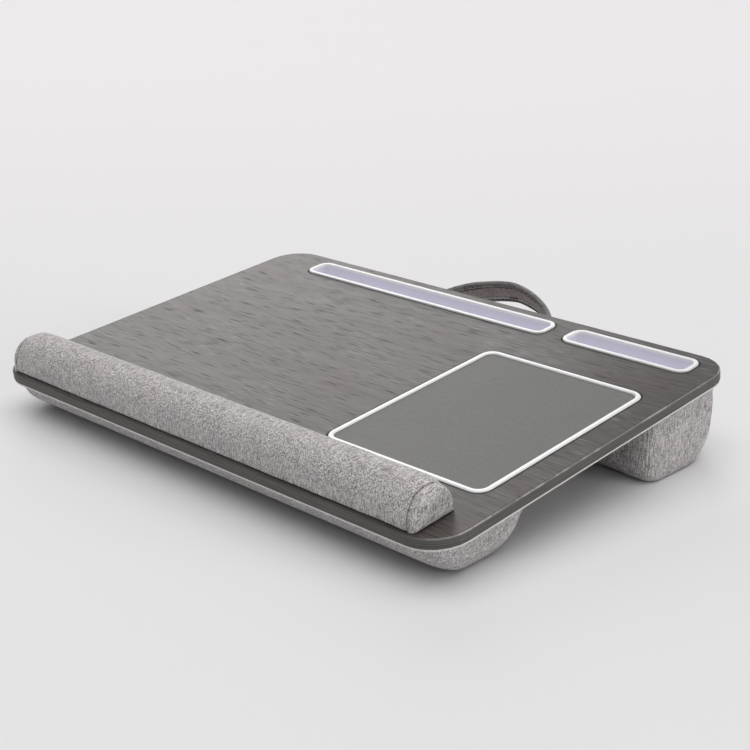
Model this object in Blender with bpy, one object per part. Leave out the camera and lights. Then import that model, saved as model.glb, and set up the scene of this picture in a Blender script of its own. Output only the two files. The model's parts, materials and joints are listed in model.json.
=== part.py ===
"""Cushioned lap desk for a laptop, in metres, +Z up, on the floor plane z = 0.

A thin board leans towards the user on two fabric bolsters, a low one at the front and a tall one
at the rear. On the board lie a padded wrist rest, a mouse pad and two troughs, and a strap handle
swings at the rear. The origin is on the floor below the middle of the whole object's box.
The board's own frame has its origin at the middle of the board's top face, +Y to the rear edge.
"""
import math

import bmesh
import bpy
from mathutils import Vector

# Board and its stance
board_width = 0.520
board_depth = 0.360
board_thickness = 0.008
board_corner_radius = 0.031
board_centre_height = 0.0585
board_tilt = math.radians(6.3)
laminate_thickness = 0.0008
edge_band_thickness = 0.0012
edge_band_arris = 0.0008
lining_thickness = 0.0010
lining_inset = 0.0004

# Clearances
seat_gap = 0.0003
insert_hole_clearance = 0.0005
insert_pocket_clearance = 0.0010
cutter_overrun = 0.0050

# Mouse pad, let into the board at the right
pad_width = 0.160
pad_right_margin = 0.024
pad_front_margin = 0.0715
pad_rear_margin = 0.0885
pad_corner_radius = 0.012
pad_recess_depth = 0.0025
pad_sheet_thickness = 0.0020
pad_border_width = 0.0045
pad_border_proud = 0.0010
pad_border_round = 0.0009

# The two white troughs along the rear edge
insert_depth = 0.029
insert_rear_margin = 0.0115
insert_corner_radius = 0.010
insert_rim_width = 0.004
insert_rim_height = 0.0016
insert_rim_round = 0.0011
insert_wall = 0.0012
insert_draft = 0.0018
insert_floor_fillet = 0.0016
trough_depth = 0.0150
tray_left_margin = 0.0575
phone_slot_width = 0.126
phone_slot_right_margin = 0.0225
insert_spacing = 0.020

# Wrist rest along the front edge
wrist_rest_depth = 0.0445
wrist_rest_height = 0.030
wrist_rest_front_inset = 0.003
wrist_rest_left_inset = 0.025
wrist_rest_right_inset = 0.032
wrist_rest_seam_height = 0.0260
wrist_rest_seam_depth = 0.0430
wrist_rest_end_round = 0.011
wrist_rest_power = 2.3
wrist_rest_cloth = 0.0012
wrist_rest_welt_width = 0.0010
wrist_rest_panel_crown = 0.0072
wrist_rest_base_thickness = 0.0020
wrist_rest_base_inset = 0.0050

# Both cushions
cushion_inset = 0.006
cushion_cloth = 0.0014
cushion_flat_cut = 0.0005

# Front cushion, a lens-shaped bolster
front_cushion_depth = 0.098
front_cushion_corner_radius = 0.024
front_cushion_rear_radius = 0.010
front_cushion_end_round = 0.020
front_cushion_low_share = 0.44
front_cushion_front_power = 1.25
front_cushion_rear_power = 2.8
front_cushion_end_power = 2.4

# Rear cushion, a tall bolster with upright walls
rear_cushion_depth = 0.099
rear_cushion_rear_inset = 0.009
rear_cushion_front_radius = 0.010
rear_cushion_rear_radius = 0.014
rear_cushion_front_round = 0.015
rear_cushion_rear_round = 0.035
rear_cushion_end_round = 0.005
rear_cushion_crown = 0.0015
rear_cushion_draw_in = 0.0012

# Strap handle
handle_half_span = 0.069
handle_reach = 0.0385
handle_width = 0.024
handle_arch_power = 1.6
handle_raise = math.radians(31)
handle_core_thickness = 0.0020
handle_ply_thickness = 0.0009
handle_root_clearance = 0.0017
anchor_width = 0.030
anchor_height = 0.022
anchor_thickness = 0.0015
anchor_corner_radius = 0.004

# The tightest inner corner, as a share of the outer one
tight_corner_share = 0.2

# Where sections stand along the wrist rest's end rounds, and its end panels' crown
end_round_shares = (0, 0.4, 0.7, 0.88, 0.97, 1)
panel_middle_share = 0.30
panel_crown_shares = ((0.99, 0.35), (0.93, 0.62), (0.80, 0.83), (0.55, 0.96), (0.25, 1.0))

# Numbers of facets
corner_steps = 6
cushion_corner_steps = 4
cushion_long_points = 5
cushion_short_points = 1
arch_steps = 16
strap_steps = 32
strap_end_steps = 8

# Worked out from the sizes above
cos_tilt = math.cos(board_tilt)
sin_tilt = math.sin(board_tilt)
lining_top = -board_thickness - seat_gap
lining_bottom = lining_top - lining_thickness
cushion_top = lining_bottom - seat_gap

tray_left = -board_width / 2 + tray_left_margin
slot_right = board_width / 2 - phone_slot_right_margin
slot_left = slot_right - phone_slot_width
tray_right = slot_left - insert_spacing
insert_rear = board_depth / 2 - insert_rear_margin
insert_front = insert_rear - insert_depth

pad_right = board_width / 2 - pad_right_margin
pad_left = pad_right - pad_width
pad_front = -board_depth / 2 + pad_front_margin
pad_rear = board_depth / 2 - pad_rear_margin

wrist_half_length = (board_width - wrist_rest_left_inset - wrist_rest_right_inset) / 2
wrist_centre_x = (wrist_rest_left_inset - wrist_rest_right_inset) / 2
wrist_centre_y = -board_depth / 2 + wrist_rest_front_inset + wrist_rest_depth / 2

front_cushion_front = -board_depth / 2 + cushion_inset
front_cushion_rear = front_cushion_front + front_cushion_depth
rear_cushion_rear = board_depth / 2 - rear_cushion_rear_inset
rear_cushion_front = rear_cushion_rear - rear_cushion_depth
cushion_half_length = board_width / 2 - cushion_inset


def level_at(y_board, z_board):
    """Depth and height in the upright frame below the board's centre of a point of the board's frame."""
    return (y_board * cos_tilt - z_board * sin_tilt,
            y_board * sin_tilt + z_board * cos_tilt + board_centre_height)


def ceiling_over(y):
    """Height of the plane that the cushions' tops lie in, at an upright depth y."""
    return (y * sin_tilt + cushion_top) / cos_tilt + board_centre_height


strap_thickness = handle_core_thickness + 2 * (handle_ply_thickness + seat_gap)
rear_wall_y = level_at(rear_cushion_rear, cushion_top)[0]
handle_axis_y = rear_wall_y + seat_gap + anchor_thickness + seat_gap + handle_width / 2
handle_axis_z = ceiling_over(handle_axis_y) - handle_root_clearance - handle_width / 2
front_reach = board_depth / 2 * cos_tilt - edge_band_arris * sin_tilt
rear_reach = (handle_axis_y + (handle_reach + strap_thickness / 2) * math.cos(handle_raise)
              + handle_width / 2 * math.sin(handle_raise))
row_centre_y = (rear_reach - front_reach) / 2


def clear_scene():
    for item in list(bpy.data.objects):
        bpy.data.objects.remove(item, do_unlink=True)


def make_material(name, colour, roughness):
    material = bpy.data.materials.new(name)
    material.use_nodes = True
    shader = material.node_tree.nodes["Principled BSDF"]
    shader.inputs["Base Color"].default_value = (*colour, 1.0)
    shader.inputs["Roughness"].default_value = roughness
    shader.inputs["Metallic"].default_value = 0.0
    return material


def make_empty(name, location, rotation=(0, 0, 0)):
    empty = bpy.data.objects.new(name, None)
    empty.location = location
    empty.rotation_euler = rotation
    bpy.context.scene.collection.objects.link(empty)
    return empty


def make_object(name, bm, material, parent=None):
    """Turn a bmesh into an object with outward faces, smooth where it is round."""
    bmesh.ops.recalc_face_normals(bm, faces=bm.faces)
    mesh = bpy.data.meshes.new(name)
    bm.to_mesh(mesh)
    bm.free()
    mesh.shade_smooth()
    mesh.set_sharp_from_angle(angle=math.radians(35))
    item = bpy.data.objects.new(name, mesh)
    if material is not None:
        mesh.materials.append(material)
    item.parent = parent
    bpy.context.scene.collection.objects.link(item)
    return item


def bridge(bm, first, second):
    """Join two loops of vertices of equal length with quads."""
    count = len(first)
    for i in range(count):
        j = (i + 1) % count
        bm.faces.new((first[i], first[j], second[j], second[i]))


def stack(rings, closed_profile=False):
    """A closed body through rings of points: capped at both ends, or joined last to first."""
    bm = bmesh.new()
    loops = [[bm.verts.new(point) for point in ring] for ring in rings]
    for first, second in zip(loops, loops[1:]):
        bridge(bm, first, second)
    if closed_profile:
        bridge(bm, loops[-1], loops[0])
    else:
        bm.faces.new(loops[0])
        bm.faces.new(loops[-1])
    return bm


def rounded_outline(left, right, front, rear, front_radius, rear_radius, steps,
                    long_points=0, short_points=0):
    """Points of a rectangle with round corners, counter-clockwise from its right rear corner."""
    corners = ((right - rear_radius, rear - rear_radius, rear_radius, 0),
               (left + rear_radius, rear - rear_radius, rear_radius, 1),
               (left + front_radius, front + front_radius, front_radius, 2),
               (right - front_radius, front + front_radius, front_radius, 3))
    points = []
    for x, y, radius, quarter in corners:
        for step in range(steps + 1):
            angle = (quarter + step / steps) * math.pi / 2
            points.append((x + radius * math.cos(angle), y + radius * math.sin(angle)))
        extra = long_points if quarter in (0, 2) else short_points
        start = points[-1]
        next_corner = corners[(quarter + 1) % 4]
        turn = (quarter + 1) * math.pi / 2
        end = (next_corner[0] + next_corner[2] * math.cos(turn),
               next_corner[1] + next_corner[2] * math.sin(turn))
        for k in range(1, extra + 1):
            share = k / (extra + 1)
            points.append((start[0] + (end[0] - start[0]) * share,
                           start[1] + (end[1] - start[1]) * share))
    return points


def drawn_in_radius(radius, inset):
    """The corner radius of an outline drawn in by inset, never quite sharp."""
    return max(radius - inset, radius * tight_corner_share)


def rectangle_ring(left, right, front, rear, radius, inset, z):
    """A ring of a round-cornered rectangle, drawn in by inset, at height z."""
    inner_radius = drawn_in_radius(radius, inset)
    shape = rounded_outline(left + inset, right - inset, front + inset, rear - inset,
                            inner_radius, inner_radius, corner_steps)
    return [(x, y, z) for x, y in shape]


def plate_mesh(left, right, front, rear, radius, bottom, top):
    return stack([rectangle_ring(left, right, front, rear, radius, 0, z) for z in (bottom, top)])


def board_plate(name, inset, bottom, top, material, parent):
    """A plate with the board's outline, drawn in by inset."""
    bm = plate_mesh(-board_width / 2 + inset, board_width / 2 - inset,
                    -board_depth / 2 + inset, board_depth / 2 - inset,
                    board_corner_radius - inset, bottom, top)
    return make_object(name, bm, material, parent)


def make_cutter(name, bm, parent):
    cutter = make_object(name, bm, None, parent)
    cutter.hide_render = True
    cutter.display_type = "WIRE"
    return cutter


def cut(item, cutters):
    for cutter in cutters:
        modifier = item.modifiers.new("cut " + cutter.name, "BOOLEAN")
        modifier.operation = "DIFFERENCE"
        modifier.solver = "EXACT"
        modifier.object = cutter


def insert_cutter(name, left, right, parent):
    """The hole that a trough's walls pass through, down to the pocket in the cushion."""
    inset = insert_rim_width - insert_wall - insert_hole_clearance
    bm = plate_mesh(left + inset, right - inset, insert_front + inset, insert_rear - inset,
                    insert_corner_radius - inset, -trough_depth - insert_pocket_clearance,
                    cutter_overrun)
    return make_cutter(name, bm, parent)


def rim_cutter(name, left, right, parent):
    """The opening in the top sheet round a trough's rim, which rests on the board below it."""
    bm = plate_mesh(left - seat_gap, right + seat_gap, insert_front - seat_gap,
                    insert_rear + seat_gap, insert_corner_radius + seat_gap,
                    -laminate_thickness - seat_gap / 2, cutter_overrun)
    return make_cutter(name, bm, parent)


def build_board(frame, materials):
    tray_cutter = insert_cutter("cutter_tray", tray_left, tray_right, frame)
    slot_cutter = insert_cutter("cutter_phone_slot", slot_left, slot_right, frame)
    pad_cutter = make_cutter("cutter_mouse_pad", plate_mesh(
        pad_left - seat_gap, pad_right + seat_gap, pad_front - seat_gap, pad_rear + seat_gap,
        pad_corner_radius + seat_gap, -pad_recess_depth, cutter_overrun), frame)
    inner_edge = edge_band_thickness + seat_gap
    core = board_plate("board_core", inner_edge, -board_thickness,
                       -laminate_thickness - seat_gap, materials["core"], frame)
    laminate = board_plate("top_laminate", inner_edge, -laminate_thickness, 0,
                           materials["laminate"], frame)
    lining = board_plate("base_lining", lining_inset, lining_bottom, lining_top,
                         materials["lining"], frame)
    cut(core, (tray_cutter, slot_cutter, pad_cutter))
    cut(laminate, (rim_cutter("cutter_tray_rim", tray_left, tray_right, frame),
                   rim_cutter("cutter_phone_slot_rim", slot_left, slot_right, frame), pad_cutter))
    cut(lining, (tray_cutter, slot_cutter))

    profile = ((0, -board_thickness), (0, -edge_band_arris), (edge_band_arris, 0),
               (edge_band_thickness, 0), (edge_band_thickness, -board_thickness))
    rings = [rectangle_ring(-board_width / 2, board_width / 2, -board_depth / 2, board_depth / 2,
                            board_corner_radius, inset, z) for inset, z in profile]
    make_object("edge_band", stack(rings, closed_profile=True), materials["edge"], frame)
    return tray_cutter, slot_cutter


def build_mouse_pad(frame, materials):
    floor = -pad_recess_depth + seat_gap
    top = pad_border_proud
    soft = pad_border_round
    profile = ((0, floor), (0, top - soft), (soft, top), (pad_border_width - soft, top),
               (pad_border_width, top - soft), (pad_border_width, floor))
    rings = [rectangle_ring(pad_left, pad_right, pad_front, pad_rear, pad_corner_radius, inset, z)
             for inset, z in profile]
    make_object("mouse_pad_border", stack(rings, closed_profile=True), materials["white"], frame)

    inset = pad_border_width + seat_gap
    bm = plate_mesh(pad_left + inset, pad_right - inset, pad_front + inset, pad_rear - inset,
                    pad_corner_radius - inset, floor, floor + pad_sheet_thickness)
    make_object("mouse_pad", bm, materials["pad"], frame)


def build_insert(name, left, right, frame, material):
    """A trough with a round-edged rim: its section runs from the inner floor over the rim and down."""
    inner = insert_rim_width
    outer = insert_rim_width - insert_wall
    inner_floor = -trough_depth + insert_wall
    top = insert_rim_height
    soft = insert_rim_round
    softer = soft * (1 - math.sqrt(0.5))
    profile = ((inner + insert_draft + insert_floor_fillet, inner_floor),
               (inner + insert_draft, inner_floor + insert_floor_fillet),
               (inner, top - soft),
               (inner - softer, top - softer),
               (inner - soft, top),
               (soft, top),
               (softer, top - softer),
               (0, top - soft),
               (0, -laminate_thickness),
               (outer, -laminate_thickness),
               (outer + insert_draft, -trough_depth + insert_floor_fillet),
               (outer + insert_draft + insert_floor_fillet, -trough_depth))
    rings = [rectangle_ring(left, right, insert_front, insert_rear, insert_corner_radius, inset, z)
             for inset, z in profile]
    make_object(name, stack(rings), material, frame)


def wrist_ring(x, inset, lowest=0.0):
    """The wrist rest's D-shaped section at x from its middle, drawn in and cut off flat at lowest.

    It is full over most of its length and shrinks to its seams over a round at each end.
    """
    round_start = wrist_half_length - wrist_rest_end_round
    into_round = min(max(abs(x) - round_start, 0) / wrist_rest_end_round, 1)
    swell = math.sqrt(1 - into_round ** 2)
    height = wrist_rest_seam_height + (wrist_rest_height - wrist_rest_seam_height) * swell
    depth = wrist_rest_seam_depth + (wrist_rest_depth - wrist_rest_seam_depth) * swell
    power = 2 / wrist_rest_power
    ring = []
    for step in range(arch_steps + 1):
        angle = math.pi * step / arch_steps
        across = math.copysign(abs(math.cos(angle)) ** power, math.cos(angle))
        z = seat_gap + inset + (height - 2 * inset) * math.sin(angle) ** power
        ring.append((wrist_centre_x + x, wrist_centre_y + (depth / 2 - inset) * across,
                     max(z, lowest)))
    return ring


def build_wrist_rest(frame, materials):
    half = [wrist_half_length - wrist_rest_end_round * (1 - share)
            for share in end_round_shares]
    stations = [-x for x in reversed(half)] + half
    outer = [wrist_ring(x, 0) for x in stations]
    inner = [wrist_ring(x, wrist_rest_cloth) for x in reversed(stations)]
    make_object("wrist_rest_cover", stack(outer + inner, closed_profile=True),
                materials["fabric"], frame)

    panel_start = wrist_half_length + seat_gap + wrist_rest_welt_width + seat_gap
    filling_end = panel_start - seat_gap
    base_bottom = seat_gap + wrist_rest_cloth + seat_gap
    base_top = base_bottom + wrist_rest_base_thickness
    half_base = wrist_rest_depth / 2 - wrist_rest_base_inset
    bm = plate_mesh(wrist_centre_x - filling_end, wrist_centre_x + filling_end,
                    wrist_centre_y - half_base, wrist_centre_y + half_base,
                    wrist_rest_base_thickness, base_bottom, base_top)
    make_object("wrist_rest_base", bm, materials["core"], frame)

    foam = [wrist_ring(x, wrist_rest_cloth + seat_gap, base_top + seat_gap)
            for x in [-filling_end] + stations + [filling_end]]
    make_object("wrist_rest_foam", stack(foam), materials["foam"], frame)

    for side, direction in (("left", -1), ("right", 1)):
        near = direction * (wrist_half_length + seat_gap)
        far = direction * (wrist_half_length + seat_gap + wrist_rest_welt_width)
        rings = [wrist_ring(near, 0), wrist_ring(far, 0),
                 wrist_ring(far, wrist_rest_cloth), wrist_ring(near, wrist_rest_cloth)]
        make_object("wrist_rest_welt_" + side, stack(rings, closed_profile=True),
                    materials["fabric"], frame)
        build_wrist_panel(side, direction, panel_start, frame, materials["fabric"])


def build_wrist_panel(side, direction, panel_start, frame, material):
    """An end panel of the wrist rest: flat inside, crowned outside."""
    rim = wrist_ring(direction * panel_start, 0)
    middle_z = seat_gap + wrist_rest_seam_height * panel_middle_share
    rings = [rim]
    for size_share, crown_share in panel_crown_shares:
        bulge = direction * wrist_rest_panel_crown * crown_share
        rings.append([(x + bulge, wrist_centre_y + (y - wrist_centre_y) * size_share,
                       middle_z + (z - middle_z) * size_share) for x, y, z in rim])
    make_object("wrist_rest_end_" + side, stack(rings), material, frame)


def rounding(radius, height):
    """How far a wall with a round lower edge is drawn in at a height above its foot."""
    if height >= radius:
        return 0.0
    return radius - math.sqrt(radius * radius - (radius - height) ** 2)


def cushion_ring(half_length, front, rear, front_radius, rear_radius, front_z, rear_z, lowest,
                 crown=0.0, draw_in=0.0):
    """A ring of a cushion in the row's frame, cut off flat where it would pass below lowest."""
    depth = rear - front
    shape = rounded_outline(-half_length, half_length, front, rear,
                            min(front_radius, depth / 2), min(rear_radius, depth / 2),
                            cushion_corner_steps, cushion_long_points, cushion_short_points)
    ring = []
    for x, y in shape:
        share = (y - front) / depth
        along = x / half_length
        swell = crown * (1 - (2 * share - 1) ** 2) * along
        pull = draw_in * (1 - along ** 2) * (1 - share)
        z = front_z + (rear_z - front_z) * share
        ring.append((x + swell, y + pull - row_centre_y, max(z, lowest)))
    return ring


def front_cushion_rings(inset):
    """The lens of the front cushion, from its top plane down to the flat it stands on."""
    front = level_at(front_cushion_front, cushion_top)[0] + inset
    rear = level_at(front_cushion_rear, cushion_top)[0] - inset
    low = front + (rear - front) * front_cushion_low_share
    foot = inset - cushion_flat_cut
    half_length = cushion_half_length - inset
    angle_shares = (0, 0.12, 0.25, 0.38, 0.51, 0.64, 0.76, 0.87, 0.955)
    rings = []
    for share in angle_shares:
        angle = share * math.pi / 2
        front_pull = math.cos(angle) ** (2 / front_cushion_front_power)
        rear_pull = math.cos(angle) ** (2 / front_cushion_rear_power)
        end_pull = math.cos(angle) ** (2 / front_cushion_end_power)
        front_y = low - (low - front) * front_pull
        rear_y = low + (rear - low) * rear_pull
        front_z = ceiling_over(front) + (foot - ceiling_over(front)) * math.sin(angle)
        rear_z = ceiling_over(rear) + (foot - ceiling_over(rear)) * math.sin(angle)
        rings.append(cushion_ring(half_length - front_cushion_end_round * (1 - end_pull),
                                  front_y, rear_y,
                                  drawn_in_radius(front_cushion_corner_radius, inset) * front_pull,
                                  front_cushion_rear_radius * rear_pull,
                                  front_z, rear_z, inset))
    return rings


def rear_cushion_rings(inset):
    """The upright bolster at the rear, from its top plane down to the flat it stands on."""
    front = level_at(rear_cushion_front, cushion_top)[0] + inset
    rear = rear_wall_y - inset
    foot = inset - cushion_flat_cut
    half_length = cushion_half_length - inset
    front_height = ceiling_over(front) - foot
    rear_height = ceiling_over(rear) - foot
    height_shares = (1, 0.82, 0.64, 0.46, 0.31, 0.19, 0.10, 0.035, 0.006)
    rings = []
    for share in height_shares:
        front_z = foot + front_height * share
        rear_z = foot + rear_height * share
        swell = rear_cushion_crown * math.sin(math.pi * share)
        rings.append(cushion_ring(
            half_length - rounding(rear_cushion_end_round, front_z - foot),
            front + rounding(rear_cushion_front_round, front_z - foot) - swell,
            rear - rounding(rear_cushion_rear_round, rear_z - foot),
            rear_cushion_front_radius, rear_cushion_rear_radius, front_z, rear_z, inset,
            crown=swell, draw_in=rear_cushion_draw_in))
    return rings


def build_cushion(name, make_rings, materials):
    """A cushion's cloth cover, open at its top, and the foam that fills it."""
    outer = make_rings(0)
    inner = make_rings(cushion_cloth)
    bm = bmesh.new()
    outer_loops = [[bm.verts.new(point) for point in ring] for ring in outer]
    inner_loops = [[bm.verts.new(point) for point in ring] for ring in inner]
    for loops in (outer_loops, inner_loops):
        for first, second in zip(loops, loops[1:]):
            bridge(bm, first, second)
        bm.faces.new(loops[-1])
    bridge(bm, outer_loops[0], inner_loops[0])
    make_object(name + "_cover", bm, materials["fabric"])
    foam = make_rings(cushion_cloth + seat_gap)
    return make_object(name + "_foam", stack(foam), materials["foam"])


def strap_path():
    """The strap's middle line in the handle's plane, with the direction square to it."""
    power = 2 / handle_arch_power
    points = []
    for step in range(strap_steps + 1):
        angle = math.pi * step / strap_steps
        along = math.copysign(abs(math.cos(angle)) ** power, math.cos(angle))
        points.append(Vector((handle_half_span * along, handle_reach * math.sin(angle) ** power)))
    normals = [Vector((1, 0))]
    for before, after in zip(points, points[2:]):
        run = (after - before).normalized()
        normals.append(Vector((run.y, -run.x)))
    normals.append(Vector((-1, 0)))
    return points, normals


def build_strap_layer(name, near, far, frame, material):
    """One layer of the strap, between two distances from its middle line, with round ends."""
    points, normals = strap_path()
    half = handle_width / 2
    bm = bmesh.new()
    sides = []
    for offset in (far, near):
        upper = []
        lower = []
        for point, normal in zip(points, normals):
            place = point + normal * offset
            upper.append(bm.verts.new((place.x, place.y, half)))
            lower.append(bm.verts.new((place.x, place.y, -half)))
        ends = []
        for index in (0, -1):
            x = upper[index].co.x
            ends.append([bm.verts.new((x, -half * math.sin(turn), half * math.cos(turn)))
                         for turn in (math.pi * k / strap_end_steps
                                      for k in range(1, strap_end_steps))])
        for i in range(strap_steps):
            bm.faces.new((upper[i], upper[i + 1], lower[i + 1], lower[i]))
        for index, end in zip((0, -1), ends):
            bm.faces.new([upper[index]] + end + [lower[index]])
        sides.append([upper[-1]] + ends[1] + lower[::-1] + ends[0][::-1] + upper[:-1])
    bridge(bm, sides[0], sides[1])
    return make_object(name, bm, material, frame)


def build_handle(materials):
    axis = make_empty("handle_axis", (0, handle_axis_y - row_centre_y, handle_axis_z),
                      (handle_raise, 0, 0))
    half_core = handle_core_thickness / 2
    ply_near = half_core + seat_gap
    ply_far = ply_near + handle_ply_thickness
    build_strap_layer("handle_core", -half_core, half_core, axis, materials["webbing"])
    build_strap_layer("handle_outer_ply", ply_near, ply_far, axis, materials["fabric"])
    build_strap_layer("handle_inner_ply", -ply_far, -ply_near, axis, materials["fabric"])


def build_anchors(materials):
    near = rear_wall_y + seat_gap - row_centre_y
    for side, direction in (("left", -1), ("right", 1)):
        shape = rounded_outline(-anchor_width / 2, anchor_width / 2, -anchor_height / 2,
                                anchor_height / 2, anchor_corner_radius, anchor_corner_radius,
                                corner_steps)
        rings = [[(direction * handle_half_span + x, near + y, handle_axis_z + z)
                  for x, z in shape] for y in (0, anchor_thickness)]
        make_object("handle_anchor_" + side, stack(rings), materials["fabric"])


def main():
    clear_scene()
    materials = {
        "core": make_material("fibreboard", (0.35, 0.27, 0.20), 0.8),
        "laminate": make_material("woodgrain laminate", (0.115, 0.108, 0.102), 0.45),
        "edge": make_material("edge band", (0.085, 0.08, 0.076), 0.5),
        "lining": make_material("lining cloth", (0.55, 0.53, 0.51), 0.9),
        "pad": make_material("leather-look pad", (0.20, 0.20, 0.19), 0.55),
        "white": make_material("white plastic", (0.86, 0.86, 0.88), 0.25),
        "fabric": make_material("heathered fabric", (0.40, 0.385, 0.38), 0.9),
        "foam": make_material("foam", (0.78, 0.74, 0.62), 0.9),
        "webbing": make_material("webbing", (0.12, 0.12, 0.12), 0.85),
    }
    frame = make_empty("board_frame", (0, -row_centre_y, board_centre_height), (board_tilt, 0, 0))
    insert_cutters = build_board(frame, materials)
    build_mouse_pad(frame, materials)
    build_insert("tray_insert", tray_left, tray_right, frame, materials["white"])
    build_insert("phone_slot_insert", slot_left, slot_right, frame, materials["white"])
    build_wrist_rest(frame, materials)
    build_cushion("front_cushion", front_cushion_rings, materials)
    rear_foam = build_cushion("rear_cushion", rear_cushion_rings, materials)
    cut(rear_foam, insert_cutters)
    build_handle(materials)
    build_anchors(materials)


main()
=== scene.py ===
"""Looks of a cushioned lap desk: cloth, woodgrain board, white troughs and a strap, on a pale floor."""
import json
import math

import bmesh
import bpy
from bpy.props import FloatProperty, FloatVectorProperty, PointerProperty
from mathutils import Matrix, Vector, noise
from mathutils.bvhtree import BVHTree


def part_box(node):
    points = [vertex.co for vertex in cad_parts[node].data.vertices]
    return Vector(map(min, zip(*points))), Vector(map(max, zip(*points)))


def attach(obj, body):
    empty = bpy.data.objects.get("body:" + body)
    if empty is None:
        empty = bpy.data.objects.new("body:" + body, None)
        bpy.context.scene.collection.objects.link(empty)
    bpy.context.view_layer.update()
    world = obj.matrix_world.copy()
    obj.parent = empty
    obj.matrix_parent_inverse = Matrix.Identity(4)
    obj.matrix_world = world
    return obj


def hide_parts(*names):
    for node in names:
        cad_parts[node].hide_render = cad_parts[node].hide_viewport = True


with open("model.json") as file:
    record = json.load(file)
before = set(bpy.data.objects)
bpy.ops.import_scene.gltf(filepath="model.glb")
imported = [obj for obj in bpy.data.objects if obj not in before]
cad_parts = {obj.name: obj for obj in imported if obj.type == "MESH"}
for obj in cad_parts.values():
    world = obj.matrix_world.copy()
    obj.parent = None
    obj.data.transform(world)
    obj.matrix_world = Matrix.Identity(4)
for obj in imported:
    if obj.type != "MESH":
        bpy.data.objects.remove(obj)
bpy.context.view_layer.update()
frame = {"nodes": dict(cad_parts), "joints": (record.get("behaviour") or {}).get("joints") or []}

bl_info = {
    "name": "Cushioned lap desk",
    "version": (1, 0, 0),
    "blender": (4, 5, 0),
    "location": "View3D > Sidebar > Lap desk",
    "description": "Dresses the lap desk's frame with cloth, woodgrain, white plastic and a floor",
    "category": "Object",
}

# Radius of the corners of each rim that is let into the woodgrain sheet, round which the sheet gets
# painted contact shade
RIM_CORNERS = {"mouse_pad_border": 0.012, "tray_insert": 0.010, "phone_slot_insert": 0.010}

# Bolsters: the flat that the board holds starts this far inside the walls and is this deep, the
# walls lean out over this height, the troughs have this room below them, and the cloth swells this far
SEAT_MARGIN = 0.0055
SEAT_DEPTH = 0.0085
FLARE_HEIGHT = 0.012
TROUGH_ROOM = 0.0006
CUSHION_SWELL = 0.0012
STUFFING_FRAMES = 20

# Squareness of the wrist rest's section, and the steps along it
REST_POWER = 2 / 2.3
REST_STEPS = 56

# Squareness of the strap's arch, the distance between its stations, and its second seam's place in
# widths of a seam from the first one
STRAP_POWER = 2 / 1.6
STRAP_STEP = 0.0009
SECOND_SEAM = 1.9

# Distance of a tab's stitches from its edge
TAB_SEAM_INSET = 0.0022

# Strength of the world on the object, and how the camera stands and looks down
WORLD_FILL = 0.12
VIEW_BEARING = math.radians(44.167)
VIEW_DROP = math.radians(19.528)

# Angles of the points round a fine tube
ROUND = [math.tau * k / 8 for k in range(8)]


def colour_property(name, description, default):
    return FloatVectorProperty(name=name, description=description, default=default,
                               subtype="COLOR", size=3, min=0, max=1)


def length_property(name, description, default):
    return FloatProperty(name=name, description=description, default=default,
                         unit="LENGTH", min=0)


def angle_property(name, description, default):
    return FloatProperty(name=name, description=description, default=default, subtype="ANGLE")


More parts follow.
